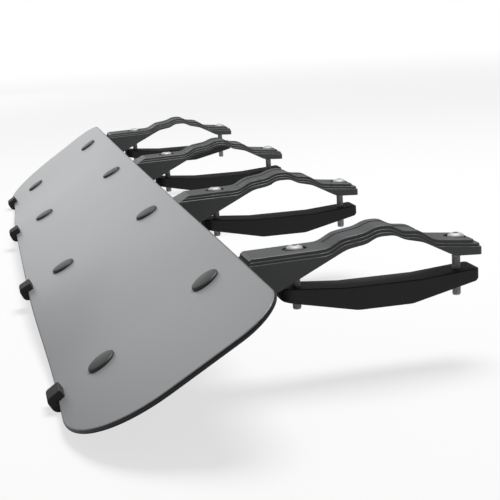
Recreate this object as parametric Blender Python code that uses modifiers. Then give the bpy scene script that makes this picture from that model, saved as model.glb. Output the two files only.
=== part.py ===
"""Roof rack wind fairing: a bowed panel on four clamp brackets that grip a crossbar.

X runs along the crossbar, +Y to the rear of the car, +Z up, in metres.
The origin is mid-span, on the line where the brackets sit on the crossbar's top.
"""
import bpy
import bmesh
from math import cos, pi, radians, sin, tan
from mathutils import Matrix, Vector

# General
GAP = 0.0003
ARC_STEPS = 4
WAVE_STEPS = 4
PANEL_CORNER_STEPS = 10
ARM_CORNER_STEPS = 3
DECK_ROUND_STEPS = 2
PANEL_EDGE_STEPS = 2
CAP_STEPS = 18
BOLT_STEPS = 12
HEAD_STEPS = 3
HOLE_STEPS = 12
CUT_OVERRUN = 0.06

# Bracket stations along the crossbar
STATION_PITCH = 0.255
STATION_COUNT = 4

# Panel, measured in its own plane from the upper fastener row
PANEL_END_REACH = 0.123
PANEL_TOP_REACH = 0.026
ROW_SPACING = 0.0835
ROW_TO_LOWER_EDGE = 0.036
PANEL_THICKNESS = 0.0035
PANEL_TOP_CORNER = 0.030
PANEL_LOWER_CORNER = 0.074
PANEL_END_TAPER = 0.015
PANEL_EDGE_ROUND = 0.0011
PANEL_PITCH = radians(26.8)
PANEL_DROOP = radians(6.1)
BEND_STRIPS = 6
UPPER_ROW_Y = -0.1173
UPPER_ROW_Z = -0.0202
PAD_MARGIN = 0.001

# Upper arm, across: a raised deck on a ledge on the body
DECK_WIDTH = 0.026
LEDGE_STEP = 0.0013
BODY_STEP = 0.0012
LEDGE_DROP = 0.0022
BODY_STEP_DROP = 0.0020
LAYER_OVERLAP = 0.001
DECK_ROUND = 0.0008
LEDGE_ROUND = 0.0009
BODY_ROUND = 0.0008
ARM_CORNER = 0.0032

# Upper arm, side view of the deck
ARM_FRONT = 0.0912
ARM_NOSE = 0.0016
LEDGE_FRONT_STEP = 0.0006
BODY_FRONT_STEP = 0.0008
ARM_REAR = 0.0672
LEDGE_REAR_STEP = 0.0008
DECK_REAR_STEP = 0.0036
FRONT_DECK_Z = -0.0062
FRONT_DECK_RISE = 0.0014
FRONT_DECK_END = 0.0415
FRONT_SHOULDER = 0.0255
FRONT_SHOULDER_Z = 0.0014
FRONT_SHOULDER_END = 0.0168
FRONT_SHOULDER_RISE = 0.0013
CREST_THICKNESS = 0.0066
CREST_FRONT = 0.0035
CREST_REAR = 0.0025
REAR_SHOULDER = 0.0138
REAR_SHOULDER_END = 0.0212
REAR_SHOULDER_Z = 0.0011
REAR_SHOULDER_RISE = 0.0007
REAR_DECK_START = 0.0368
REAR_DECK_Z = -0.0066
REAR_DECK_FALL = 0.0031

# Upper arm, under side
SEAT_LENGTH = 0.009
UNDER_DIP = 0.015
UNDER_DIP_DROP = 0.0042
UNDER_FRONT = 0.0265
UNDER_FRONT_DROP = 0.0061
WEB_START = 0.033
WEB_START_DROP = 0.0092
UNDER_REAR = 0.0255
UNDER_REAR_DROP = 0.0067
REAR_BLOCK_START = 0.0473
REAR_BLOCK_DROP = 0.0182
REAR_BLOCK_FALL = 0.0010

# Upper arm, web and foot behind the panel
WEB_PITCH = radians(26.3)
WEB_BEND = 0.100
FOOT_TOP_MARGIN = 0.007
FOOT_OVERRUN = 0.018
FOOT_TIP = 0.008
PAD_WALL = 0.005
WEB_WALL = 0.0035
POCKET_REACH = 0.020
POCKET_RIB = 0.006

# Main clamp bolts and nuts
FRONT_BOLT_Y = -0.0575
REAR_BOLT_Y = 0.0545
BOLT_RADIUS = 0.003
BOLT_LENGTH = 0.0395
BOLT_TIP = 0.0008
HEAD_RADIUS = 0.0057
HEAD_HEIGHT = 0.0035
HEAD_RIM = 0.0009
SOCKET_ACROSS = 0.004
SOCKET_DEPTH = 0.0019
NUT_ACROSS = 0.010
NUT_HEIGHT = 0.005
NUT_CHAMFER = 0.0007
HEAD_CLEARANCE = 0.00055
RECESS_PLAY = 0.004
RECESS_DEPTH = 0.0013
SLOT_CLEARANCE = 0.0004
SLOT_PLAY = 0.0077

# Lower clamp
CLAMP_WIDTH = 0.023
CLAMP_FRONT = 0.0708
CLAMP_REAR = 0.0665
CLAMP_NOSE_GAP = 0.0009
CLAMP_REAR_RISE = 0.0033
JAW_Z = -0.0325
JAW_LENGTH = 0.052
CLAMP_END_DROP = 0.0050
BELLY_DROP = 0.0161
BELLY_LENGTH = 0.038
CLAMP_END_ROUND = 0.004
BELLY_ROUND = 0.020
CLAMP_EDGE_ROUND = 0.0008
NUT_SEAT_DROP = 0.0025

# Panel fasteners
CAP_RADIUS = 0.0100
CAP_HEIGHT = 0.0022
CAP_CROWN = 0.0004
CAP_RIM = 0.0006
PANEL_BOLT_RADIUS = 0.003
PANEL_BOLT_END = 0.0022

# Rubber feet on the panel's lower edge
FOOT_WIDTH = 0.018
LIP_REACH = 0.0058
LIP_THICKNESS = 0.0056
LIP_ROUND = 0.0012
REAR_LIP_REACH = 0.010
REAR_LIP_THICKNESS = 0.0035
BUMPER_REACH = 0.0060
BUMPER_ROUND = 0.0045
FOOT_EDGE_ROUND = 0.0008

OUTER_STATION = STATION_PITCH * (STATION_COUNT - 1) / 2
STATIONS = [STATION_PITCH * i - OUTER_STATION for i in range(STATION_COUNT)]
PANEL_LENGTH = 2 * (OUTER_STATION + PANEL_END_REACH)
LOWER_EDGE = -ROW_SPACING - ROW_TO_LOWER_EDGE
LEDGE_WIDTH = DECK_WIDTH + 2 * LEDGE_STEP
BODY_WIDTH = LEDGE_WIDTH + 2 * BODY_STEP
BODY_DROP = LEDGE_DROP + BODY_STEP_DROP
LEDGE_FRONT = ARM_FRONT + LEDGE_FRONT_STEP
BODY_FRONT = LEDGE_FRONT + BODY_FRONT_STEP
LEDGE_REAR = ARM_REAR - LEDGE_REAR_STEP
DECK_REAR = LEDGE_REAR - DECK_REAR_STEP
RECESS_WIDTH = 2 * (HEAD_RADIUS + HEAD_CLEARANCE)
RECESS_LENGTH = RECESS_WIDTH + RECESS_PLAY
SLOT_WIDTH = 2 * (BOLT_RADIUS + SLOT_CLEARANCE)
SLOT_LENGTH = SLOT_WIDTH + SLOT_PLAY
CLAMP_REAR_Z = JAW_Z + CLAMP_REAR_RISE
CLAMP_END_Z = JAW_Z - CLAMP_END_DROP
BELLY_Z = JAW_Z - BELLY_DROP
NUT_SEAT_Z = JAW_Z - NUT_SEAT_DROP
HOLE_RADIUS = BOLT_RADIUS + GAP
PANEL_HOLE_RADIUS = PANEL_BOLT_RADIUS + GAP
PAD_HALF = BODY_WIDTH / 2 + PAD_MARGIN
ACROSS = Matrix(((0, 0, 1, 0), (1, 0, 0, 0), (0, 1, 0, 0), (0, 0, 0, 1)))


def clear_scene():
    for obj in list(bpy.data.objects):
        bpy.data.objects.remove(obj, do_unlink=True)


def new_collection(name):
    collection = bpy.data.collections.new(name)
    bpy.context.scene.collection.children.link(collection)
    return collection


def material(name, colour, roughness, metallic):
    mat = bpy.data.materials.new(name)
    mat.use_nodes = True
    shader = mat.node_tree.nodes["Principled BSDF"]
    shader.inputs["Base Color"].default_value = (*colour, 1.0)
    shader.inputs["Roughness"].default_value = roughness
    shader.inputs["Metallic"].default_value = metallic
    return mat


def bmesh_object(name, bm, collection):
    bmesh.ops.recalc_face_normals(bm, faces=bm.faces[:])
    mesh = bpy.data.meshes.new(name)
    bm.to_mesh(mesh)
    bm.free()
    obj = bpy.data.objects.new(name, mesh)
    collection.objects.link(obj)
    return obj


def hidden(obj):
    obj.hide_render = True
    obj.display_type = "WIRE"
    return obj


def boolean(target, operand, operation="DIFFERENCE"):
    modifier = target.modifiers.new(operand.name, "BOOLEAN")
    modifier.solver = "EXACT"
    modifier.operation = operation
    modifier.object = operand


def evaluated_mesh(obj):
    bpy.context.view_layer.update()
    graph = bpy.context.evaluated_depsgraph_get()
    return bpy.data.meshes.new_from_object(obj.evaluated_get(graph))


def finish(obj, mat):
    obj.data.materials.clear()
    obj.data.materials.append(mat)
    obj.data.shade_smooth()
    obj.data.set_sharp_from_angle(angle=radians(35))
    return obj


def rounded(corners, steps=ARC_STEPS):
    """Outline through corners (a, b, radius), with an arc at each corner that has a radius."""
    points = []
    for i, (a, b, radius) in enumerate(corners):
        corner = Vector((a, b))
        if radius <= 0:
            points.append((a, b))
            continue
        before = (Vector(corners[i - 1][:2]) - corner).normalized()
        after = (Vector(corners[(i + 1) % len(corners)][:2]) - corner).normalized()
        half = before.angle(after) / 2
        centre = corner + (before + after).normalized() * radius / sin(half)
        start = corner + before * radius / tan(half) - centre
        turn = start.angle_signed(corner + after * radius / tan(half) - centre)
        for step in range(steps + 1):
            arm = start.copy()
            arm.rotate(Matrix.Rotation(-turn * step / steps, 2))
            points.append(tuple(centre + arm))
    return points


def wave(knots):
    """Points through (y, z, kind) knots: an "ease" knot is reached in a cosine sweep, a "line" straight."""
    points = [knots[0][:2]]
    for (y0, z0, _), (y1, z1, kind) in zip(knots, knots[1:]):
        steps = WAVE_STEPS if kind == "ease" else 1
        for step in range(1, steps + 1):
            share = step / steps
            lift = (1 - cos(pi * share)) / 2 if kind == "ease" else share
            points.append((y0 + (y1 - y0) * share, z0 + (z1 - z0) * lift))
    return points


def slab(outline, low, high, matrix=Matrix()):
    """A flat outline extruded from low to high along its own normal, then placed by matrix."""
    bm = bmesh.new()
    face = bm.faces.new([bm.verts.new((a, b, low)) for a, b in outline])
    lifted = bmesh.ops.extrude_face_region(bm, geom=[face])["geom"]
    lifted = [v for v in lifted if isinstance(v, bmesh.types.BMVert)]
    bmesh.ops.translate(bm, vec=(0, 0, high - low), verts=lifted)
    bmesh.ops.transform(bm, matrix=matrix, verts=bm.verts[:])
    bmesh.ops.recalc_face_normals(bm, faces=bm.faces[:])
    return bm


def soften(bm, edges, size, steps):
    bmesh.ops.bevel(bm, geom=edges, offset=size, offset_type="OFFSET", segments=steps, profile=0.5,
                    affect="EDGES", material=-1)
    bm.normal_update()


def cylinder(radius, low, high, matrix, segments=HOLE_STEPS):
    bm = bmesh.new()
    middle = matrix @ Matrix.Translation((0, 0, (low + high) / 2))
    bmesh.ops.create_cone(bm, cap_ends=True, segments=segments, radius1=radius, radius2=radius,
                          depth=high - low, matrix=middle)
    return bm


def hexagon(across, low, high, matrix):
    return cylinder(across / 2 / cos(pi / 6), low, high, matrix, segments=6)


def stadium(length, width):
    """Outline with two half round ends, its length along the second axis."""
    corner = width / 2 * 0.999
    return rounded([
        (-width / 2, -length / 2, corner),
        (width / 2, -length / 2, corner),
        (width / 2, length / 2, corner),
        (-width / 2, length / 2, corner),
    ])


def station_pitch(x):
    return PANEL_PITCH + PANEL_DROOP * (x / OUTER_STATION) ** 2


def panel_pitch(x):
    """The panel lies flat on each bracket's pad and turns smoothly from one pad to the next."""
    for left, right in zip(STATIONS, STATIONS[1:]):
        if left <= x <= right:
            share = (x - left - PAD_HALF) / (right - left - 2 * PAD_HALF)
            share = min(max(share, 0), 1)
            share = share * share * (3 - 2 * share)
            return station_pitch(left) + (station_pitch(right) - station_pitch(left)) * share
    return station_pitch(OUTER_STATION)


def panel_frame(x):
    """Matrix at the upper row: X across, Y up the slope, Z out of the front face."""
    return Matrix.Translation((x, UPPER_ROW_Y, UPPER_ROW_Z)) @ Matrix.Rotation(panel_pitch(x), 4, "X")


def pad_frame(x):
    """The same frame for a bracket that is modelled at mid-span."""
    return Matrix.Translation((-x, 0, 0)) @ panel_frame(x)


def panel_outline(grow):
    half = PANEL_LENGTH / 2 + grow
    top = PANEL_TOP_REACH + grow
    low = LOWER_EDGE - grow
    inner = half - PANEL_END_TAPER
    return rounded([
        (-half, top, PANEL_TOP_CORNER),
        (-inner, low, PANEL_LOWER_CORNER),
        (inner, low, PANEL_LOWER_CORNER),
        (half, top, PANEL_TOP_CORNER),
    ], PANEL_CORNER_STEPS)


def bend_lines():
    """Where the plate is sliced across: both sides of each pad, and evenly between pads."""
    lines = []
    for x in STATIONS:
        lines += [x - PAD_HALF, x + PAD_HALF]
    for left, right in zip(STATIONS, STATIONS[1:]):
        span = right - left - 2 * PAD_HALF
        lines += [left + PAD_HALF + span * i / BEND_STRIPS for i in range(1, BEND_STRIPS)]
    return lines


def panel_solid(name, grow, edge_round, collection):
    """The plate is made flat, sliced into strips, then bent to the panel's surface."""
    bm = slab(panel_outline(grow), -PANEL_THICKNESS - grow, grow)
    if edge_round > 0:
        rims = [e for e in bm.edges if abs(e.verts[0].co.z - e.verts[1].co.z) < GAP]
        soften(bm, rims, edge_round, PANEL_EDGE_STEPS)
    for x in bend_lines():
        everything = bm.verts[:] + bm.edges[:] + bm.faces[:]
        bmesh.ops.bisect_plane(bm, geom=everything, dist=1e-6, plane_co=(x, 0, 0), plane_no=(1, 0, 0))
    bmesh.ops.triangulate(bm, faces=bm.faces[:])
    for vert in bm.verts:
        x, s, n = vert.co
        vert.co = panel_frame(x) @ Vector((0, s, n))
    return bmesh_object(name, bm, collection)


def deck_z(y):
    """Height of the deck at one of the two flat stretches that carry the main bolts."""
    if y < 0:
        share = (y + ARM_FRONT) / (ARM_FRONT - FRONT_DECK_END)
        return FRONT_DECK_Z + FRONT_DECK_RISE * share
    share = (y - REAR_DECK_START) / (ARM_REAR - REAR_DECK_START)
    return REAR_DECK_Z - REAR_DECK_FALL * share


def seat_z(y):
    """Height of the recess floor that a main bolt's head sits on."""
    return deck_z(y) - RECESS_DEPTH


def arm_top(drop, front, rear):
    """Top line of one layer of the arm, from a small nose at the front to the rear, lowered by drop."""
    knots = [
        (-front, FRONT_DECK_Z - ARM_NOSE, "line"),
        (-front + ARM_NOSE, FRONT_DECK_Z, "line"),
        (-FRONT_DECK_END, FRONT_DECK_Z + FRONT_DECK_RISE, "line"),
        (-FRONT_SHOULDER, FRONT_SHOULDER_Z, "ease"),
        (-FRONT_SHOULDER_END, FRONT_SHOULDER_Z + FRONT_SHOULDER_RISE, "line"),
        (-CREST_FRONT, CREST_THICKNESS, "ease"),
        (CREST_REAR, CREST_THICKNESS, "line"),
        (REAR_SHOULDER, REAR_SHOULDER_Z + REAR_SHOULDER_RISE, "ease"),
        (REAR_SHOULDER_END, REAR_SHOULDER_Z, "line"),
        (REAR_DECK_START, REAR_DECK_Z, "ease"),
        (rear, deck_z(rear), "line"),
    ]
    return [(y, z - drop) for y, z in wave(knots)]


def web_under(y):
    """Height of the web's straight under side, ahead of the bar seat."""
    return -WEB_START_DROP + (y + WEB_START) * tan(WEB_PITCH)


def arm_under(rear):
    """Under side of the arm from front to rear: web, bar seat with a dip each side, rear block."""
    return wave([
        (-WEB_BEND, web_under(-WEB_BEND), "line"),
        (-WEB_START, -WEB_START_DROP, "line"),
        (-UNDER_FRONT, -UNDER_FRONT_DROP, "line"),
        (-UNDER_DIP, -UNDER_DIP_DROP, "line"),
        (-SEAT_LENGTH / 2, 0, "ease"),
        (SEAT_LENGTH / 2, 0, "line"),
        (UNDER_DIP, -UNDER_DIP_DROP, "ease"),
        (UNDER_REAR, -UNDER_REAR_DROP, "line"),
        (REAR_BLOCK_START, -REAR_BLOCK_DROP, "line"),
        (rear, -REAR_BLOCK_DROP - REAR_BLOCK_FALL, "line"),
    ])


def layer(name, outline, width, rounding, steps, front, collection):
    """One layer of the arm: a side outline across its width, rear corners rounded, then its top rim.

    The rim is each edge between an upright face and one that faces up.
    """
    bm = slab(outline, -width / 2, width / 2, ACROSS)
    rear = max(v.co.y for v in bm.verts)
    across = [e for e in bm.edges if all(v.co.y > rear - GAP for v in e.verts)]
    uprights = [e for e in across if abs(e.verts[0].co.x - e.verts[1].co.x) < GAP]
    soften(bm, uprights, ARM_CORNER, ARM_CORNER_STEPS)
    rim = []
    for edge in bm.edges:
        if len(edge.link_faces) < 2 or min(v.co.y for v in edge.verts) < -front - GAP:
            continue
        heights = sorted(face.normal.z for face in edge.link_faces)
        if abs(heights[0]) < 0.1 < heights[1]:
            rim.append(edge)
    soften(bm, rim, rounding, steps)
    return bmesh_object(name, bm, collection)


def arm_outline(x):
    """Side outline of the arm's body, from the panel's back round the foot to the rear block."""
    frame = pad_frame(x)
    middle = -PANEL_THICKNESS / 2
    foot_end = -ROW_SPACING - FOOT_OVERRUN
    top_point = frame @ Vector((0, PANEL_TOP_REACH - FOOT_TOP_MARGIN, middle))
    end_point = frame @ Vector((0, foot_end, middle))
    tip_point = frame @ Vector((0, foot_end, -PANEL_THICKNESS - GAP - FOOT_TIP))
    outline = [(top_point.y, top_point.z)]
    outline += arm_top(BODY_DROP, BODY_FRONT, ARM_REAR)[1:]
    outline += arm_under(ARM_REAR)[::-1]
    outline += [(tip_point.y, tip_point.z), (end_point.y, end_point.z)]
    return outline


def arm_mesh(x, collection):
    """One upper arm blank: body, ledge and deck joined, then recessed, slotted, bored and cored."""
    deck = arm_top(0, ARM_FRONT, DECK_REAR) + arm_top(LEDGE_DROP + LAYER_OVERLAP, ARM_FRONT, DECK_REAR)[::-1]
    ledge = arm_top(LEDGE_DROP, LEDGE_FRONT, LEDGE_REAR)
    ledge += arm_top(BODY_DROP + LAYER_OVERLAP, LEDGE_FRONT, LEDGE_REAR)[::-1]
    body = layer("body", arm_outline(x), BODY_WIDTH, BODY_ROUND, 1, BODY_FRONT, collection)
    tools = [
        layer("ledge", ledge, LEDGE_WIDTH, LEDGE_ROUND, 1, LEDGE_FRONT, collection),
        layer("deck", deck, DECK_WIDTH, DECK_ROUND, DECK_ROUND_STEPS, ARM_FRONT, collection),
    ]
    boolean(body, tools[0], "UNION")
    boolean(body, tools[1], "UNION")
    for y in (FRONT_BOLT_Y, REAR_BOLT_Y):
        place = Matrix.Translation((0, y, 0))
        recess = slab(stadium(RECESS_LENGTH, RECESS_WIDTH), seat_z(y), seat_z(y) + CUT_OVERRUN, place)
        slot = slab(stadium(SLOT_LENGTH, SLOT_WIDTH), -CUT_OVERRUN, CUT_OVERRUN, place)
        tools.append(bmesh_object("recess", recess, collection))
        tools.append(bmesh_object("slot", slot, collection))
    frame = pad_frame(x)
    pad_back = -PANEL_THICKNESS - GAP - PAD_WALL
    for s in (0, -ROW_SPACING):
        place = frame @ Matrix.Translation((0, s, 0))
        hole = cylinder(PANEL_HOLE_RADIUS, pad_back - PAD_WALL, PAD_WALL, place)
        tools.append(bmesh_object("hole", hole, collection))
    inner_half = BODY_WIDTH / 2 - WEB_WALL
    middle_rib = -ROW_SPACING / 2
    foot_end = -ROW_SPACING - FOOT_OVERRUN
    spans = ((middle_rib + POCKET_RIB / 2, POCKET_REACH), (foot_end + WEB_WALL, middle_rib - POCKET_RIB / 2))
    for low, high in spans:
        pocket = [(-inner_half, low), (inner_half, low), (inner_half, high), (-inner_half, high)]
        pocket = slab(pocket, pad_back - CUT_OVERRUN, pad_back, frame)
        tools.append(bmesh_object("pocket", pocket, collection))
    for tool in tools[2:]:
        boolean(body, tool)
    mesh = evaluated_mesh(body)
    for obj in [body] + tools:
        bpy.data.objects.remove(obj, do_unlink=True)
    return mesh


def clamp_mesh(collection):
    """Lower clamp: a beam with a flat jaw under the bar, its front nose just under the arm's web."""
    nose_z = web_under(-CLAMP_FRONT) - CLAMP_NOSE_GAP
    outline = rounded([
        (-CLAMP_FRONT, nose_z, 0),
        (-JAW_LENGTH / 2, JAW_Z, 0),
        (JAW_LENGTH / 2, JAW_Z, 0),
        (CLAMP_REAR, CLAMP_REAR_Z, 0),
        (CLAMP_REAR, CLAMP_END_Z, CLAMP_END_ROUND),
        (BELLY_LENGTH / 2, BELLY_Z, BELLY_ROUND),
        (-BELLY_LENGTH / 2, BELLY_Z, BELLY_ROUND),
        (-CLAMP_FRONT, CLAMP_END_Z, CLAMP_END_ROUND),
    ])
    bm = slab(outline, -CLAMP_WIDTH / 2, CLAMP_WIDTH / 2, ACROSS)
    soften(bm, [e for e in bm.edges if abs(e.verts[0].co.x - e.verts[1].co.x) < GAP], CLAMP_EDGE_ROUND, 1)
    body = bmesh_object("beam", bm, collection)
    tools = []
    for y in (FRONT_BOLT_Y, REAR_BOLT_Y):
        place = Matrix.Translation((0, y, 0))
        tools.append(bmesh_object("bore", cylinder(HOLE_RADIUS, -CUT_OVERRUN, 0, place), collection))
        pocket = hexagon(NUT_ACROSS + 2 * GAP, -CUT_OVERRUN, NUT_SEAT_Z, place)
        tools.append(bmesh_object("nut_pocket", pocket, collection))
    for tool in tools:
        boolean(body, tool)
    mesh = evaluated_mesh(body)
    for obj in [body] + tools:
        bpy.data.objects.remove(obj, do_unlink=True)
    return mesh


def turned(name, profile, collection, steps):
    """Solid of revolution about Z from a profile that runs from its top down its outer side."""
    mesh = bpy.data.meshes.new(name)
    points = [(r, 0, z) for r, z in profile]
    mesh.from_pydata(points, [(i, i + 1) for i in range(len(points) - 1)], [])
    obj = bpy.data.objects.new(name, mesh)
    collection.objects.link(obj)
    screw = obj.modifiers.new("turn", "SCREW")
    screw.axis = "Z"
    screw.angle = 2 * pi
    screw.steps = steps
    screw.render_steps = steps
    screw.use_merge_vertices = True
    screw.merge_threshold = 0.00001
    return obj


def bolt_mesh(collection):
    """Button head bolt, its under-head face at z 0."""
    rise = HEAD_HEIGHT - HEAD_RIM
    angles = [pi / 2 * i / HEAD_STEPS for i in range(HEAD_STEPS + 1)]
    profile = [(HEAD_RADIUS * sin(a), HEAD_RIM + rise * cos(a)) for a in angles]
    profile += [
        (HEAD_RADIUS, 0),
        (BOLT_RADIUS, 0),
        (BOLT_RADIUS, -BOLT_LENGTH + BOLT_TIP),
        (BOLT_RADIUS - BOLT_TIP, -BOLT_LENGTH),
        (0, -BOLT_LENGTH),
    ]
    body = turned("bolt", profile, collection, BOLT_STEPS)
    socket = hexagon(SOCKET_ACROSS, HEAD_HEIGHT - SOCKET_DEPTH, HEAD_HEIGHT + SOCKET_DEPTH, Matrix())
    socket = bmesh_object("socket", socket, collection)
    boolean(body, socket)
    mesh = evaluated_mesh(body)
    bpy.data.objects.remove(body, do_unlink=True)
    bpy.data.objects.remove(socket, do_unlink=True)
    return mesh


def nut_mesh(collection):
    """Hexagon nut from z 0 down, its lower rim chamfered."""
    bm = hexagon(NUT_ACROSS, -NUT_HEIGHT, 0, Matrix())
    soften(bm, [e for e in bm.edges if all(v.co.z < -GAP for v in e.verts)], NUT_CHAMFER, 1)
    body = bmesh_object("nut", bm, collection)
    hole = bmesh_object("thread", cylinder(HOLE_RADIUS, -2 * NUT_HEIGHT, NUT_HEIGHT, Matrix()), collection)
    boolean(body, hole)
    mesh = evaluated_mesh(body)
    for obj in (body, hole):
        bpy.data.objects.remove(obj, do_unlink=True)
    return mesh


def panel_bolt_mesh(collection):
    """Panel fastener: a low round cap on the panel's face with a shank behind it, face at z 0."""
    reach = PANEL_THICKNESS + PAD_WALL + NUT_HEIGHT + 4 * GAP + PANEL_BOLT_END
    body = turned("cap", [
        (0, CAP_HEIGHT),
        (CAP_RADIUS - 2 * CAP_RIM, CAP_HEIGHT - CAP_CROWN),
        (CAP_RADIUS, CAP_HEIGHT - CAP_CROWN - CAP_RIM),
        (CAP_RADIUS, 0),
        (PANEL_BOLT_RADIUS, 0),
        (PANEL_BOLT_RADIUS, -reach),
        (0, -reach),
    ], collection, CAP_STEPS)
    mesh = evaluated_mesh(body)
    bpy.data.objects.remove(body, do_unlink=True)
    return mesh


def foot_object(x, name, collection):
    """Rubber foot, in the panel's own plane: thick front lip, round bumper below, thinner lip behind."""
    back = -PANEL_THICKNESS - REAR_LIP_THICKNESS
    middle = -PANEL_THICKNESS / 2
    outline = rounded([
        (LOWER_EDGE + LIP_REACH, LIP_THICKNESS, LIP_ROUND),
        (LOWER_EDGE + LIP_REACH, middle, 0),
        (LOWER_EDGE + REAR_LIP_REACH, middle, 0),
        (LOWER_EDGE + REAR_LIP_REACH, back, LIP_ROUND),
        (LOWER_EDGE - BUMPER_REACH, back, BUMPER_ROUND),
        (LOWER_EDGE - BUMPER_REACH, LIP_THICKNESS, BUMPER_ROUND),
    ])
    bm = slab(outline, -FOOT_WIDTH / 2, FOOT_WIDTH / 2, ACROSS)
    soften(bm, [e for e in bm.edges if abs(e.verts[0].co.x - e.verts[1].co.x) < GAP], FOOT_EDGE_ROUND, 1)
    bmesh.ops.transform(bm, matrix=panel_frame(x), verts=bm.verts[:])
    return bmesh_object(name, bm, collection)


def placed(name, mesh, matrix, collection, mat):
    obj = bpy.data.objects.new(name, mesh)
    obj.matrix_world = matrix
    collection.objects.link(obj)
    return finish(obj, mat)


def main():
    clear_scene()
    part = new_collection("wind_fairing")
    cutters = new_collection("cutters")
    silver = material("panel_silver", (0.36, 0.36, 0.38), 0.42, 0.35)
    arm_black = material("arm_plastic", (0.055, 0.055, 0.06), 0.5, 0.0)
    clamp_black = material("clamp_plastic", (0.02, 0.02, 0.023), 0.5, 0.0)
    steel = material("bolt_steel", (0.62, 0.62, 0.62), 0.28, 1.0)
    cap_grey = material("cap_grey", (0.10, 0.10, 0.11), 0.45, 0.2)
    rubber = material("foot_rubber", (0.015, 0.015, 0.017), 0.7, 0.0)

    clearance = hidden(panel_solid("panel_clearance", GAP, 0, cutters))
    panel = finish(panel_solid("fairing_panel", 0, PANEL_EDGE_ROUND, part), silver)
    arm_meshes = {}
    clamp = clamp_mesh(cutters)
    bolt = bolt_mesh(cutters)
    nut = nut_mesh(cutters)
    cap = panel_bolt_mesh(cutters)
    for number, x in enumerate(STATIONS, start=1):
        key = round(abs(x), 6)
        if key not in arm_meshes:
            arm_meshes[key] = arm_mesh(key, cutters)
        station = Matrix.Translation((x, 0, 0))
        arm = placed(f"upper_arm_{number}", arm_meshes[key], station, part, arm_black)
        boolean(arm, clearance)
        placed(f"lower_clamp_{number}", clamp, station, part, clamp_black)
        for side, y in (("front", FRONT_BOLT_Y), ("rear", REAR_BOLT_Y)):
            seat = station @ Matrix.Translation((0, y, seat_z(y) + GAP))
            placed(f"{side}_bolt_{number}", bolt, seat, part, steel)
            nut_place = station @ Matrix.Translation((0, y, NUT_SEAT_Z - GAP))
            placed(f"{side}_nut_{number}", nut, nut_place, part, steel)
        for row, s in (("upper", 0), ("lower", -ROW_SPACING)):
            place = panel_frame(x) @ Matrix.Translation((0, s, 0))
            outside = place @ Matrix.Translation((0, 0, GAP))
            placed(f"{row}_panel_bolt_{number}", cap, outside, part, cap_grey)
            inside = -PANEL_THICKNESS - PAD_WALL - 2 * GAP
            placed(f"{row}_panel_nut_{number}", nut, place @ Matrix.Translation((0, 0, inside)), part, steel)
            hole = cylinder(PANEL_HOLE_RADIUS, -PANEL_THICKNESS - PAD_WALL, PAD_WALL, place)
            boolean(panel, hidden(bmesh_object(f"panel_hole_{row}_{number}", hole, cutters)))
        foot = finish(foot_object(x, f"rubber_foot_{number}", part), rubber)
        boolean(foot, clearance)


main()
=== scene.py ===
# %% [markdown]
# # Roof rack wind fairing
# A wind fairing is a plate that lies at a slope at the front of a roof rack, so that the air slides
# up and over and doesn't whistle. Four moulded brackets hold the plate, and each closes like jaws.
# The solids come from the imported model, because they carry the sizes. This script gives them their
# finished surfaces.

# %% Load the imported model
import math

import bmesh
import bpy
from mathutils import Matrix, Vector


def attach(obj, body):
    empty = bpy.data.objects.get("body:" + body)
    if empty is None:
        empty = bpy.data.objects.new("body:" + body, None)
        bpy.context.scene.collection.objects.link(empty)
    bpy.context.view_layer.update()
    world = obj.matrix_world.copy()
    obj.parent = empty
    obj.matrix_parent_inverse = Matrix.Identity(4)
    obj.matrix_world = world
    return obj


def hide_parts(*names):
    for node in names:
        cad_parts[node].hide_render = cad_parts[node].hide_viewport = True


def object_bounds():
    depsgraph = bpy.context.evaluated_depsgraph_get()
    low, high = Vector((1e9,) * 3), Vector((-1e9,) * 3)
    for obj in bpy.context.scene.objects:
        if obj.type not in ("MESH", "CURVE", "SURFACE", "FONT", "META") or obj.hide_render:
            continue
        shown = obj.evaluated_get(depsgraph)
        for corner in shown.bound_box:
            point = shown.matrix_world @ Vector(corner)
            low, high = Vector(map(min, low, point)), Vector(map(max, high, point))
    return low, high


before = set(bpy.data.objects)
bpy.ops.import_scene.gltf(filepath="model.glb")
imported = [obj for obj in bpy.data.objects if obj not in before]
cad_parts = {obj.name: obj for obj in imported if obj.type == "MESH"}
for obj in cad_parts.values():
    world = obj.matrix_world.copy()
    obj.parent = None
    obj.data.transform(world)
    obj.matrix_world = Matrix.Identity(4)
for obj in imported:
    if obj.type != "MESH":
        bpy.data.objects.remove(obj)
packed_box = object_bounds()


def in_millimetres(box):
    return [tuple(round(value * 1000, 1) for value in corner) for corner in box]


print("nodes:", len(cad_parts), "box in mm:", in_millimetres(packed_box))

# %% [markdown]
# ## Shader helpers
# A material is a graph of nodes. Writing sums as Python expressions keeps the graph readable,
# so one small class wraps a socket and turns each operator into a Math node.

# %% Shader helpers
class Wire:
    """A socket in a node tree that can be used in sums."""

    def __init__(self, tree, socket):
        self.tree = tree
        self.socket = socket

    def math(self, operation, first, second):
        node = self.tree.nodes.new("ShaderNodeMath")
        node.operation = operation
        for socket, value in zip(node.inputs, (first, second)):
            plug(self.tree, socket, value)
        return Wire(self.tree, node.outputs[0])

    def __add__(self, other):
        return self.math("ADD", self, other)

    def __radd__(self, other):
        return self.math("ADD", other, self)

    def __mul__(self, other):
        return self.math("MULTIPLY", self, other)

    def __rmul__(self, other):
        return self.math("MULTIPLY", other, self)


def plug(tree, socket, value):
    """Link a wire to a socket, or set a plain value on it."""
    if isinstance(value, Wire):
        tree.links.new(value.socket, socket)
    else:
        socket.default_value = value


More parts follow.
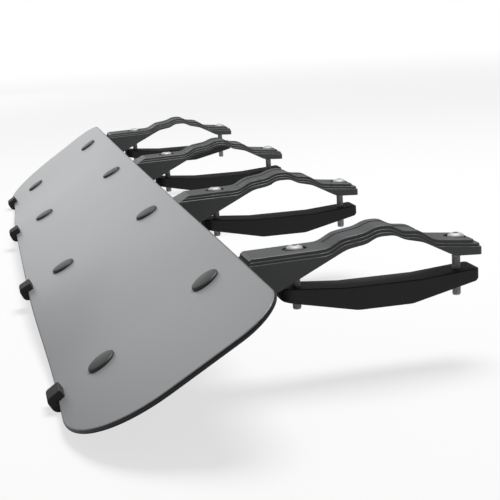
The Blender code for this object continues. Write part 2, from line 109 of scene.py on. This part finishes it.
class Paint:
    """One material: its shader, and a method that adds any node."""

    def __init__(self, name, **constants):
        self.material = bpy.data.materials.new(name)
        self.material.use_nodes = True
        self.tree = self.material.node_tree
        self.shader = self.tree.nodes["Principled BSDF"]
        for socket, value in constants.items():
            self.set(socket.replace("_", " "), value)

    def node(self, kind, settings=None, output=0, **sockets):
        node = self.tree.nodes.new("ShaderNode" + kind)
        for name, value in (settings or {}).items():
            setattr(node, name, value)
        for name, value in sockets.items():
            plug(self.tree, node.inputs[name.replace("_", " ")], value)
        return Wire(self.tree, node.outputs[output])

    def set(self, socket, value):
        plug(self.tree, self.shader.inputs[socket], value)

    def place(self):
        return self.node("TexCoord", output="Object")

    def noise(self, scale, detail=3.0, roughness=0.5):
        return self.node("TexNoise", output="Fac", Vector=self.place(), Scale=scale, Detail=detail,
                         Roughness=roughness)

    def blend(self, factor, first, second):
        node = self.tree.nodes.new("ShaderNodeMix")
        node.data_type = "RGBA"
        plug(self.tree, node.inputs[0], factor)
        plug(self.tree, node.inputs[6], first)
        plug(self.tree, node.inputs[7], second)
        return Wire(self.tree, node.outputs[2])

    def bump(self, height, strength, distance):
        self.set("Normal", self.node("Bump", Height=height, Strength=strength, Distance=distance))


def grey(level, warm=0.0):
    return (level * (1 + warm), level, level * (1 - warm), 1.0)

# %% [markdown]
# ## Finishes
# The panel is a black-edged sheet with a satin silver-grey coat on its face. The arms are charcoal
# plastic with a fine moulded grain, the clamps are blacker, and the feet are rubber. A picture could
# be wrapped round each piece, but noise on Object coordinates needs no seams and keeps its scale
# from piece to piece. A broad noise varies the colour, and a fine one makes the grain.

# %% Finishes
def panel_paint():
    paint = Paint("panel_silver", Metallic=0.2, Specular_IOR_Level=0.5)
    fine = paint.noise(900, 2)
    broad = paint.noise(6, 4)
    # The black edge is the plate's own colour; the fade of the silver over the rounded rim is painted
    # shade.
    coat_and_rim_shade = paint.node("Attribute", {"attribute_name": "coat_and_rim_shade"}, output="Fac")
    silver = paint.blend(broad, grey(0.28, -0.03), grey(0.31, -0.03))
    paint.set("Base Color", paint.blend(coat_and_rim_shade, grey(0.02), silver))
    paint.set("Roughness", 0.40 + fine * 0.08)
    paint.bump(fine, 0.06, 0.0002)
    return paint.material


def plastic(name, low, high, roughness, grain):
    paint = Paint(name, Specular_IOR_Level=0.45)
    fine = paint.noise(grain, 4, 0.6)
    broad = paint.noise(30, 3)
    paint.set("Base Color", paint.blend(broad, grey(low, -0.03), grey(high, -0.03)))
    paint.set("Roughness", roughness + fine * 0.12)
    paint.bump(fine, 0.25, 0.0002)
    return paint.material


def steel_paint():
    paint = Paint("bolt_steel", Metallic=0.3)
    fine = paint.noise(700, 4)
    paint.set("Base Color", paint.blend(fine, grey(0.44), grey(0.54)))
    paint.set("Roughness", 0.52 + fine * 0.12)
    return paint.material


finishes = {
    "panel": panel_paint(),
    "arm": plastic("arm_charcoal", 0.066, 0.090, 0.42, 1600),
    "clamp": plastic("clamp_black", 0.008, 0.012, 0.42, 1500),
    "cap": plastic("cap_grey", 0.040, 0.054, 0.44, 900),
    "rubber": plastic("foot_rubber", 0.018, 0.028, 0.62, 1200),
    "steel": steel_paint(),
}
print("finishes:", ", ".join(finishes))

# %% [markdown]
# ## Shape helpers
# The real brackets and clamps are injection moulded, so their edges are rounded and their curves
# are smooth. Each is made again here with finer steps than the solids, in the same place: a side
# outline is extruded across, its edges are bevelled, and cutters take out recesses and slots.
# Subdividing the solids would be quicker, but it would round off the flats that bolts sit on.

# %% Shape helpers
ACROSS = Matrix(((0, 0, 1, 0), (1, 0, 0, 0), (0, 1, 0, 0), (0, 0, 0, 1)))
STATIONS = (-0.3825, -0.1275, 0.1275, 0.3825)
CUT = 0.06
GAP = 0.0003
BORE_RADIUS = 0.0033


def sweep(knots, steps):
    """Points through (y, z, kind) knots: "ease" is reached in a cosine sweep, "line" straight."""
    points = [knots[0][:2]]
    for (y0, z0, _), (y1, z1, kind) in zip(knots, knots[1:]):
        count = steps if kind == "ease" else 1
        for step in range(1, count + 1):
            share = step / count
            lift = (1 - math.cos(math.pi * share)) / 2 if kind == "ease" else share
            points.append((y0 + (y1 - y0) * share, z0 + (z1 - z0) * lift))
    return points


def relaxed(points, reach, spacing=0.0012, tail=0.007):
    """The same line with its corners eased: each height is the mean of those within reach.

    The last stretch stays one straight edge, so that the arm's rear corners can be bevelled.
    """
    ys = [y for y, _ in points]
    last = ys[-1] - tail

    def height(y):
        y = min(max(y, ys[0]), ys[-1])
        i = max(1, next(i for i, limit in enumerate(ys) if y <= limit))
        (y0, z0), (y1, z1) = points[i - 1], points[i]
        return z0 + (z1 - z0) * (y - y0) / (y1 - y0)

    count = round((last - ys[0]) / spacing)
    line = []
    for step in range(count + 1):
        y = ys[0] + (last - ys[0]) * step / count
        near = min(reach, y - ys[0])
        line.append((y, sum(height(y + near * k / 4) * (5 - abs(k)) for k in range(-4, 5)) / 25))
    return line + [points[-1]]


def rounded(corners, steps=8):
    """Outline through corners (a, b, radius), with an arc at each corner that has a radius."""
    points = []
    for i, (a, b, radius) in enumerate(corners):
        corner = Vector((a, b))
        if radius <= 0:
            points.append((a, b))
            continue
        before = (Vector(corners[i - 1][:2]) - corner).normalized()
        after = (Vector(corners[(i + 1) % len(corners)][:2]) - corner).normalized()
        half = before.angle(after) / 2
        centre = corner + (before + after).normalized() * radius / math.sin(half)
        start = corner + before * radius / math.tan(half) - centre
        turn = start.angle_signed(corner + after * radius / math.tan(half) - centre)
        for step in range(steps + 1):
            arm = start.copy()
            arm.rotate(Matrix.Rotation(-turn * step / steps, 2))
            points.append(tuple(centre + arm))
    return points


def slab(outline, low, high, place=Matrix()):
    """A flat outline extruded from low to high along its own normal, then moved to its place."""
    bm = bmesh.new()
    face = bm.faces.new([bm.verts.new((a, b, low)) for a, b in outline])
    lifted = bmesh.ops.extrude_face_region(bm, geom=[face])["geom"]
    lifted = [v for v in lifted if isinstance(v, bmesh.types.BMVert)]
    bmesh.ops.translate(bm, vec=(0, 0, high - low), verts=lifted)
    bmesh.ops.transform(bm, matrix=place, verts=bm.verts[:])
    bmesh.ops.recalc_face_normals(bm, faces=bm.faces[:])
    return bm


def soften(bm, edges, size, segments):
    bmesh.ops.bevel(bm, geom=edges, offset=size, offset_type="OFFSET", segments=segments, profile=0.5,
                    affect="EDGES", material=-1)
    bm.normal_update()


def disc_bore(radius, low, high, place, steps=32):
    """A round cutter, or a hexagon one with 6 steps, from low to high along the place's own Z."""
    bm = bmesh.new()
    bmesh.ops.create_cone(bm, cap_ends=True, segments=steps, radius1=radius, radius2=radius,
                          depth=high - low, matrix=place @ Matrix.Translation((0, 0, (low + high) / 2)))
    return bm


def lathe(profile, steps=48):
    """Profile (radius, z) from the top axis point down the outside, turned about Z."""
    bm = bmesh.new()
    verts = [bm.verts.new((r, 0, z)) for r, z in profile]
    edges = [bm.edges.new(pair) for pair in zip(verts, verts[1:])]
    bmesh.ops.spin(bm, geom=verts + edges, axis=(0, 0, 1), cent=(0, 0, 0), angle=2 * math.pi,
                   steps=steps, use_merge=True)
    bmesh.ops.remove_doubles(bm, verts=bm.verts[:], dist=1e-6)
    bmesh.ops.recalc_face_normals(bm, faces=bm.faces[:])
    return bm


def scratch(bm):
    mesh = bpy.data.meshes.new("scratch")
    bm.to_mesh(mesh)
    bm.free()
    obj = bpy.data.objects.new("scratch", mesh)
    bpy.context.scene.collection.objects.link(obj)
    return obj


def carve(blank, *steps):
    """Blank joined with, cut by or limited to each (operation, bmesh) in turn, as a new bmesh."""
    body = scratch(blank)
    tools = [scratch(bm) for _, bm in steps]
    for (operation, _), tool in zip(steps, tools):
        modifier = body.modifiers.new("carve", "BOOLEAN")
        modifier.solver = "EXACT"
        modifier.operation = operation
        modifier.object = tool
    bpy.context.view_layer.update()
    shape = body.evaluated_get(bpy.context.evaluated_depsgraph_get())
    result = bmesh.new()
    result.from_mesh(shape.to_mesh())
    shape.to_mesh_clear()
    for obj in [body] + tools:
        bpy.data.objects.remove(obj, do_unlink=True)
    return result


def finished(node, slot, bm, place=Matrix(), sharp=30):
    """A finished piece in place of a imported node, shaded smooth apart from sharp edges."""
    mesh = bpy.data.meshes.new(node + "_finished")
    copy = bm.copy()
    bmesh.ops.transform(copy, matrix=place, verts=copy.verts[:])
    copy.to_mesh(mesh)
    copy.free()
    mesh.shade_smooth()
    mesh.set_sharp_from_angle(angle=math.radians(sharp))
    mesh.materials.append(finishes[slot])
    piece = bpy.data.objects.new(node + "_finished", mesh)
    bpy.context.scene.collection.objects.link(piece)
    weigh = piece.modifiers.new("weighted_normals", "WEIGHTED_NORMAL")
    weigh.keep_sharp = True
    weigh.weight = 80
    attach(piece, "root")
    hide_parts(node)
    return piece


def packed(node):
    """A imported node's surface with its loose triangles joined."""
    bm = bmesh.new()
    bm.from_mesh(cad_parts[node].data)
    bmesh.ops.remove_doubles(bm, verts=bm.verts[:], dist=1e-6)
    return bm


print("stations at", STATIONS)

# %% [markdown]
# ## Panel
# The panel is a sheet of aluminium, rolled to a slight bow and painted satin silver on its face,
# with a black edge and back. It is cut out flat and bent strip by strip, as rolling does, because
# its corners, rim and holes are easiest to make true in the flat. A face attribute says how much
# silver paint each face carries, so that it ends on the rim and no second material is needed. It
# fades steeply across the rounded rim, and that fade is painted shade: the rim is darkened where
# the top lamp would light it.

# %% Panel
PANEL_ROW = (-0.1173, -0.0202)
PANEL_PITCH = math.radians(26.8)
PANEL_DROOP = math.radians(6.1)
PAD_HALF = 0.0165
ROW_SPACING = 0.0835
PANEL_THICKNESS = 0.0035
STRIPS_PER_BAY = 12


def station_turn(x):
    return PANEL_PITCH + PANEL_DROOP * (x / STATIONS[-1]) ** 2


def pad_frame(x):
    """X across, Y up the slope and Z out of the face at a station's upper fastener."""
    return Matrix.Translation((x, *PANEL_ROW)) @ Matrix.Rotation(station_turn(x), 4, "X")


def panel_turn(x):
    """The plate lies flat on each arm's pad and turns smoothly from one pad to the next."""
    for left, right in zip(STATIONS, STATIONS[1:]):
        if left <= x <= right:
            share = min(max((x - left - PAD_HALF) / (right - left - 2 * PAD_HALF), 0), 1)
            share = share * share * (3 - 2 * share)
            return station_turn(left) + (station_turn(right) - station_turn(left)) * share
    return station_turn(STATIONS[-1])


def panel():
    """The plate is cut out flat, its rim is rounded, its holes are made, and then it is bent."""
    half, top, low = 0.5054, 0.026, -0.1195
    outline = rounded([(-half, top, 0.030), (-half + 0.015, low, 0.074), (half - 0.015, low, 0.074),
                       (half, top, 0.030)], 28)
    bm = slab(outline, -PANEL_THICKNESS, 0)
    soften(bm, [e for e in bm.edges if abs(e.verts[0].co.z - e.verts[1].co.z) < GAP], 0.0015, 4)
    holes = [("DIFFERENCE", disc_bore(BORE_RADIUS, -0.01, 0.01, Matrix.Translation((x, s, 0))))
             for x in STATIONS for s in (0, -ROW_SPACING)]
    bm = carve(bm, *holes)
    lines = [x + side * PAD_HALF for x in STATIONS for side in (-1, 1)]
    for left, right in zip(STATIONS, STATIONS[1:]):
        span = right - left - 2 * PAD_HALF
        lines += [left + PAD_HALF + span * i / STRIPS_PER_BAY for i in range(1, STRIPS_PER_BAY)]
    for x in lines:
        everything = bm.verts[:] + bm.edges[:] + bm.faces[:]
        bmesh.ops.bisect_plane(bm, geom=everything, dist=1e-7, plane_co=(x, 0, 0), plane_no=(1, 0, 0))
    bmesh.ops.triangulate(bm, faces=bm.faces[:])
    bm.normal_update()
    # Full silver on the face, fading out steeply where the rim turns away from it: the black edge is
    # the plate's own colour, and the steep fade over the rounded rim is painted shade.
    coat_and_rim_shade = bm.faces.layers.float.new("coat_and_rim_shade")
    for face in bm.faces:
        face[coat_and_rim_shade] = min(max(face.normal.z * 3 - 1.95, 0), 1)
    for vert in bm.verts:
        x, s, n = vert.co
        bend = Matrix.Translation((x, *PANEL_ROW)) @ Matrix.Rotation(panel_turn(x), 4, "X")
        vert.co = bend @ Vector((0, s, n))
    return bm


bm = panel()
finished("fairing_panel", "panel", bm)
print("panel faces:", len(bm.faces))
bm.free()

# %% [markdown]
# ## Arms
# Each arm is one moulding. Seen from the side it is a wave, highest in the middle, with a flat
# deck for a bolt at each end. Its section has three steps: a deck, a ledge and the body. A web runs
# down behind the panel to a foot that is cored from the back to keep its walls even. The arm could
# be pulled out of a box by hand, but its three steps have to stay parallel, so one top line is
# lowered for each step, and the three layers are joined.

# %% Arms
DECK_WIDTH, LEDGE_WIDTH, BODY_WIDTH = 0.026, 0.0286, 0.031
LEDGE_DROP, BODY_DROP = 0.0022, 0.0042
ARM_FRONT, ARM_NOSE = 0.0912, 0.0016
LEDGE_FRONT, BODY_FRONT = 0.0918, 0.0926
DECK_REAR, LEDGE_REAR, ARM_REAR = 0.0628, 0.0664, 0.0672
WEB_START, WEB_DROP, WEB_SLOPE = 0.033, 0.0092, math.tan(math.radians(26.3))
BOLT_PLACES = (-0.0575, 0.0545)
BOLT_SEATS = (-0.00655, -0.00970)
HEAD_RECESS = (0.0165, 0.0125)
BOLT_SLOT = (0.0145, 0.0068)
STRIP_HALF, STRIP_DEPTH = 0.0048, 0.0004
PAD_DEPTH = 0.0038


def deck_z(y):
    if y < 0:
        return -0.0062 + 0.0014 * (y + ARM_FRONT) / (ARM_FRONT - 0.0415)
    return -0.0066 - 0.0031 * (y - 0.0368) / (ARM_REAR - 0.0368)


def top_line(drop, front, rear, steps=8):
    """Top line of one step of the arm, lowered by drop."""
    knots = [
        (-front + ARM_NOSE, -0.0062, "line"), (-0.0415, -0.0048, "line"), (-0.0255, 0.0014, "ease"),
        (-0.0168, 0.0027, "line"), (-0.0035, 0.0066, "ease"), (0.0025, 0.0066, "line"),
        (0.0138, 0.0018, "ease"), (0.0212, 0.0011, "line"), (0.0368, -0.0066, "ease"),
        (rear, deck_z(rear), "line"),
    ]
    line = [(-front, -0.0062 - ARM_NOSE)] + relaxed(sweep(knots, steps), 0.0035)
    return [(y, z - drop) for y, z in line]


def under_line(steps=6):
    """The line under the arm, from the web's foot to the rear end."""
    knots = [
        (-0.1, -WEB_DROP + (WEB_START - 0.1) * WEB_SLOPE, "line"), (-WEB_START, -WEB_DROP, "line"),
        (-0.0265, -0.0061, "line"), (-0.015, -0.0042, "line"), (-0.0045, 0, "ease"),
        (0.0045, 0, "line"),
        (0.015, -0.0042, "ease"), (0.0255, -0.0067, "line"), (0.0473, -0.0182, "line"),
        (ARM_REAR, -0.0192, "line"),
    ]
    return relaxed(sweep(knots, steps), 0.0035)


def layer(outline, width, rounding, segments, front):
    """One step of the arm: its rear corners are rounded first, and then its top rim."""
    bm = slab(outline, -width / 2, width / 2, ACROSS)
    rear = max(v.co.y for v in bm.verts)
    ends = [e for e in bm.edges if all(v.co.y > rear - GAP for v in e.verts)]
    soften(bm, [e for e in ends if abs(e.verts[0].co.x - e.verts[1].co.x) < GAP], 0.0032, 6)
    rim = []
    for edge in bm.edges:
        heights = sorted(face.normal.z for face in edge.link_faces)
        inside = min(v.co.y for v in edge.verts) > -front - GAP
        if inside and abs(heights[0]) < 0.1 < heights[-1]:
            rim.append(edge)
    soften(bm, rim, rounding, segments)
    return bm


def stadium(length, width):
    corner = width / 2 * 0.999
    return rounded([(-width / 2, -length / 2, corner), (width / 2, -length / 2, corner),
                    (width / 2, length / 2, corner), (-width / 2, length / 2, corner)])


def arm(x):
    """A finished arm at mid-span, for the panel's slope at station x."""
    pad = Matrix.Translation((-x, 0, 0)) @ pad_frame(x)
    corners = ((0.019, -0.00175), (-0.1015, -0.0118), (-0.1015, -0.00175))
    ends = [pad @ Vector((0, s, n)) for s, n in corners]
    body = [(ends[0].y, ends[0].z)] + top_line(BODY_DROP, BODY_FRONT, ARM_REAR)[1:] + under_line()[::-1]
    body += [(ends[1].y, ends[1].z), (ends[2].y, ends[2].z)]
    ledge = top_line(LEDGE_DROP, LEDGE_FRONT, LEDGE_REAR)
    ledge += top_line(BODY_DROP + 0.001, LEDGE_FRONT, LEDGE_REAR)[::-1]
    deck = top_line(0, ARM_FRONT, DECK_REAR) + top_line(LEDGE_DROP + 0.001, ARM_FRONT, DECK_REAR)[::-1]
    steps = [("UNION", layer(ledge, LEDGE_WIDTH, 0.0009, 3, LEDGE_FRONT)),
             ("UNION", layer(deck, DECK_WIDTH, 0.0009, 3, ARM_FRONT))]
    for y, seat in zip(BOLT_PLACES, BOLT_SEATS):
        place = Matrix.Translation((0, y, 0))
        steps.append(("DIFFERENCE", slab(stadium(*HEAD_RECESS), seat, seat + CUT, place)))
        steps.append(("DIFFERENCE", slab(stadium(*BOLT_SLOT), -CUT, CUT, place)))
    crown = [(y, z) for y, z in top_line(0, ARM_FRONT, DECK_REAR) if -0.038 < y < 0.031]
    groove = [(y, z + 0.004) for y, z in crown] + [(y, z - STRIP_DEPTH) for y, z in crown[::-1]]
    steps.append(("DIFFERENCE", slab(groove, -STRIP_HALF, STRIP_HALF, ACROSS)))
    for s in (0, -ROW_SPACING):
        row = pad @ Matrix.Translation((0, s, 0))
        steps.append(("DIFFERENCE", disc_bore(BORE_RADIUS, -0.0138, 0.005, row)))
    for low, high in ((-0.03875, 0.02), (-0.098, -0.04475)):
        pocket = rounded([(-0.012, low, 0.002), (0.012, low, 0.002), (0.012, high, 0.002),
                          (-0.012, high, 0.002)])
        steps.append(("DIFFERENCE", slab(pocket, -0.0088 - CUT, -0.0088, pad)))
    bm = carve(layer(body, BODY_WIDTH, 0.0008, 3, BODY_FRONT), *steps)
    back = pad @ Vector((0, 0, -PAD_DEPTH))
    out = pad.to_3x3() @ Vector((0, 0, 1))
    everything = bm.verts[:] + bm.edges[:] + bm.faces[:]
    cut = bmesh.ops.bisect_plane(bm, geom=everything, dist=1e-7, plane_co=back, plane_no=out,
                                 clear_outer=True)
    rim = [e for e in cut["geom_cut"] if isinstance(e, bmesh.types.BMEdge)]
    bmesh.ops.triangle_fill(bm, edges=rim, use_beauty=True, use_dissolve=True, normal=out)
    bmesh.ops.recalc_face_normals(bm, faces=bm.faces[:])
    return bm


arms = {}
for number, x in enumerate(STATIONS, start=1):
    key = abs(x)
    if key not in arms:
        arms[key] = arm(key)
    finished(f"upper_arm_{number}", "arm", arms[key], Matrix.Translation((x, 0, 0)))
print("arm faces:", [len(bm.faces) for bm in arms.values()])
for bm in arms.values():
    bm.free()

# %% [markdown]
# ## Clamps
# The lower clamp is a moulded beam that the two bolts pull up towards the arm. Its front end is
# round in plan, and a hexagon pocket under each bore keeps a nut from turning. A side outline alone
# would leave that end square, so the extruded side is also limited to a plan outline.

# %% Clamps
JAW_Z = -0.0325
POCKET_RADIUS = 0.0053 / math.cos(math.pi / 6)


def clamp():
    side = rounded([
        (-0.0708, -WEB_DROP + (WEB_START - 0.0708) * WEB_SLOPE - 0.0009, 0), (-0.026, JAW_Z, 0),
        (0.026, JAW_Z, 0), (0.0665, JAW_Z + 0.0033, 0), (0.0665, JAW_Z - 0.005, 0.004),
        (0.019, JAW_Z - 0.0161, 0.02), (-0.019, JAW_Z - 0.0161, 0.02), (-0.0708, JAW_Z - 0.005, 0.004)])
    plan = rounded([(-0.0115, -0.0708, 0.0090), (0.0115, -0.0708, 0.0090), (0.0115, 0.0665, 0.003),
                    (-0.0115, 0.0665, 0.003)])
    bm = carve(slab(side, -0.02, 0.02, ACROSS), ("INTERSECT", slab(plan, -CUT, 0)))
    rim = [e for e in bm.edges if len(e.link_faces) == 2 and e.calc_face_angle() > math.radians(50)]
    soften(bm, rim, 0.0009, 3)
    steps = []
    for y in BOLT_PLACES:
        place = Matrix.Translation((0, y, 0))
        steps.append(("DIFFERENCE", disc_bore(BORE_RADIUS, -CUT, 0, place)))
        steps.append(("DIFFERENCE", disc_bore(POCKET_RADIUS, -CUT, JAW_Z - 0.0025, place, 6)))
    return carve(bm, *steps)


bm = clamp()
for number, x in enumerate(STATIONS, start=1):
    finished(f"lower_clamp_{number}", "clamp", bm, Matrix.Translation((x, 0, 0)))
print("clamp faces:", len(bm.faces))
bm.free()

# %% [markdown]
# ## Main bolts
# Each is a zinc-plated M6 button head bolt with a hexagon socket and a thread along its shank.
# A bump could stand in for the thread, but the shank's outline would stay smooth. So a V is spun
# about the axis while it climbs one pitch a turn, round a plain core.

# %% Main bolts
BOLT_END = -0.0395
PITCH = 0.001
HEAD_RADIUS = 0.0057
CORE_RADIUS, THREAD_RADIUS = 0.0026, 0.00298
SOCKET_RADIUS = 0.002 / math.cos(math.pi / 6)


def thread(bm, bottom, turns, steps=20):
    """A thread round a core, from bottom upwards."""
    profile = ((CORE_RADIUS, bottom), (THREAD_RADIUS, bottom + PITCH / 2), (CORE_RADIUS, bottom + PITCH))
    verts = [bm.verts.new((radius, 0, z)) for radius, z in profile]
    edges = [bm.edges.new(pair) for pair in zip(verts, verts[1:])]
    bmesh.ops.spin(bm, geom=verts + edges, axis=(0, 0, 1), cent=(0, 0, 0), angle=2 * math.pi * turns,
                   steps=steps * turns, dvec=(0, 0, PITCH / steps))
    bmesh.ops.remove_doubles(bm, verts=bm.verts[:], dist=1e-6)


def bolt():
    """Under-head face at z 0."""
    head = [(0, 0.0035)]
    head += [(HEAD_RADIUS * math.sin(a), 0.0009 + 0.0026 * math.cos(a))
             for a in (math.pi / 2 * i / 10 for i in range(1, 11))]
    head += [(HEAD_RADIUS, 0.0002), (0.0055, 0), (CORE_RADIUS, 0), (CORE_RADIUS, BOLT_END + 0.0002),
             (0.0022, BOLT_END), (0, BOLT_END)]
    socket = disc_bore(SOCKET_RADIUS, 0.0016, 0.006, Matrix(), 6)
    bm = carve(lathe(head), ("DIFFERENCE", socket))
    thread(bm, BOLT_END + 0.0002, 38)
    bmesh.ops.recalc_face_normals(bm, faces=bm.faces[:])
    return bm


bm = bolt()
for number, x in enumerate(STATIONS, start=1):
    for side, y, seat in zip(("front", "rear"), BOLT_PLACES, BOLT_SEATS):
        turn = Matrix.Rotation(math.radians(37 * number + 11 * (y > 0)), 4, "Z")
        finished(f"{side}_bolt_{number}", "steel", bm, Matrix.Translation((x, y, seat + GAP)) @ turn)
print("bolt faces:", len(bm.faces))
bm.free()

# %% [markdown]
# ## Panel fasteners
# The panel is held by low round caps, each with a threaded shank that takes a nut in the arm's
# core. A squashed sphere would come close, but the real cap has a flat crown and a tight rim, so
# its profile is drawn and turned about its axis.

# %% Panel fasteners
def cap():
    """The cap's seat at z 0, its shank below."""
    profile = [(0, 0.0022), (0.005, 0.00212), (0.0088, 0.0018), (0.0094, 0.0016), (0.0098, 0.0012),
               (0.0100, 0.0008), (0.0100, 0), (CORE_RADIUS, 0), (CORE_RADIUS, -0.0165), (0, -0.0165)]
    bm = lathe(profile)
    thread(bm, -0.0167, 11)
    bmesh.ops.recalc_face_normals(bm, faces=bm.faces[:])
    return bm


bm = cap()
for number, x in enumerate(STATIONS, start=1):
    for row, s in (("upper", 0), ("lower", -ROW_SPACING)):
        place = pad_frame(x) @ Matrix.Translation((0, s, GAP))
        finished(f"{row}_panel_bolt_{number}", "cap", bm, place)
print("cap faces:", len(bm.faces))
bm.free()

# %% [markdown]
# ## Nuts
# The nuts are plain hexagons that sit hidden in their pockets. Nothing would be gained by making
# them again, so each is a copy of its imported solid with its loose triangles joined.

# %% Nuts
for number in range(1, 5):
    for name in ("front_nut", "rear_nut", "upper_panel_nut", "lower_panel_nut"):
        bm = packed(f"{name}_{number}")
        finished(f"{name}_{number}", "steel", bm)
        bm.free()
print("nuts:", 4 * len(STATIONS))

# %% [markdown]
# ## Rubber feet
# A rubber foot is pushed onto the lower edge of the panel under each bracket. It could be a box
# with a groove, but rubber mouldings have no sharp edges, so a rounded side outline is extruded
# across and the plate's slot is cut out of it.

# %% Rubber feet
LOWER_EDGE = -ROW_SPACING - 0.036


def foot():
    """A rubber foot in the panel's own plane, its slot cut for the plate."""
    outline = rounded([
        (LOWER_EDGE + 0.0058, 0.0056, 0.0011), (LOWER_EDGE + 0.0058, -0.00175, 0),
        (LOWER_EDGE + 0.010, -0.00175, 0), (LOWER_EDGE + 0.010, -0.007, 0.0011),
        (LOWER_EDGE - 0.006, -0.007, 0.005), (LOWER_EDGE - 0.0053, 0.0054, 0.0032)], 6)
    bm = slab(outline, -0.009, 0.009, ACROSS)
    soften(bm, [e for e in bm.edges if abs(e.verts[0].co.x - e.verts[1].co.x) < GAP], 0.0007, 3)
    back = -PANEL_THICKNESS - GAP
    plate = [(LOWER_EDGE - GAP, back), (LOWER_EDGE - GAP, GAP), (0, GAP), (0, back)]
    return carve(bm, ("DIFFERENCE", slab(plate, -0.02, 0.02, ACROSS)))


bm = foot()
for number, x in enumerate(STATIONS, start=1):
    finished(f"rubber_foot_{number}", "rubber", bm, pad_frame(x))
print("foot faces:", len(bm.faces))
bm.free()

# %% [markdown]
# ## Floor
# The fairing is shown at its working slope, with its rubber feet on a plain pale floor. The floor
# glows a little for the camera alone, so that it looks white without more light on the piece, and
# it still takes the shadow.

# %% Floor
floor_z = packed_box[0][2] - 0.0005
bm = bmesh.new()
bmesh.ops.create_grid(bm, x_segments=1, y_segments=1, size=30,
                      matrix=Matrix.Translation((0, 0, floor_z)))
mesh = bpy.data.meshes.new("floor")
bm.to_mesh(mesh)
bm.free()
floor = bpy.data.objects.new("floor", mesh)
bpy.context.scene.collection.objects.link(floor)
paint = Paint("floor_white", Roughness=0.9)
seen = paint.node("LightPath", output="Is Camera Ray")
paint.set("Base Color", paint.blend(seen, grey(0.55), grey(0.8)))
radius = paint.node("VectorMath", {"operation": "LENGTH"}, output="Value", Vector=paint.place())
far = paint.node("MapRange", {"interpolation_type": "SMOOTHSTEP"}, output="Result", Value=radius,
                 From_Min=0.8, From_Max=3.5)
glow = paint.tree.nodes.new("ShaderNodeEmission")
mix = paint.tree.nodes.new("ShaderNodeMixShader")
plug(paint.tree, mix.inputs[0], seen * (0.7 + far * 0.3))
paint.tree.links.new(paint.shader.outputs[0], mix.inputs[1])
paint.tree.links.new(glow.outputs[0], mix.inputs[2])
paint.tree.links.new(mix.outputs[0], paint.tree.nodes["Material Output"].inputs["Surface"])
floor.data.materials.append(paint.material)
print("floor at", round(floor_z * 1000, 1), "mm")

# %% [markdown]
# ## Light
# One broad lamp above gives the soft main light. A weak one, low at the far end, brightens the
# panel towards that end, as its satin coat shows most at a grazing angle. A single strong lamp
# would clip the panel to white.

# %% Light
scene = bpy.context.scene
scene.view_settings.view_transform = "Standard"
world = bpy.data.worlds.new("studio")
scene.world = world
world.use_nodes = True
background = world.node_tree.nodes["Background"]
background.inputs["Color"].default_value = (1, 1, 1, 1)
seen = Wire(world.node_tree, world.node_tree.nodes.new("ShaderNodeLightPath").outputs["Is Camera Ray"])
plug(world.node_tree, background.inputs["Strength"], 0.21 + seen * 0.79)


def softbox(name, place, aim, size, watts):
    data = bpy.data.lights.new(name, "AREA")
    data.shape = "DISK"
    data.size = size
    data.energy = watts
    lamp = bpy.data.objects.new(name, data)
    lamp.location = place
    lamp.rotation_euler = (Vector(aim) - Vector(place)).to_track_quat("-Z", "Y").to_euler()
    scene.collection.objects.link(lamp)


softbox("far", (-2.3, -0.45, 0.40), (-0.4, -0.1, 0), 0.9, 3.8)
softbox("top", (-0.15, 0.25, 1.8), (0, 0, 0), 1.2, 42)

# %% [markdown]
# ## Camera
# The camera looks along the panel from its near end, a little from above. Its place, turn and lens
# were fitted to the positions of the brackets, which is surer than turning it by eye.

# %% Camera
CAMERA_PLACE = (1.08385, -0.24552, 0.15723)
CAMERA_YAW = 0.222342
CAMERA_DIP = 0.219466
CAMERA_ROLL = 0.056928
CAMERA_LENS = 82.615

ahead = Vector((-math.cos(CAMERA_YAW) * math.cos(CAMERA_DIP),
                math.sin(CAMERA_YAW) * math.cos(CAMERA_DIP), -math.sin(CAMERA_DIP)))
camera_data = bpy.data.cameras.new("camera")
camera_data.lens = CAMERA_LENS
camera_data.clip_start = 0.01
camera = bpy.data.objects.new("camera", camera_data)
camera.matrix_world = (Matrix.Translation(CAMERA_PLACE)
                       @ ahead.to_track_quat("-Z", "Y").to_matrix().to_4x4()
                       @ Matrix.Rotation(-CAMERA_ROLL, 4, "Z"))
scene.collection.objects.link(camera)
scene.camera = camera
print("camera at", CAMERA_PLACE, "lens", CAMERA_LENS)
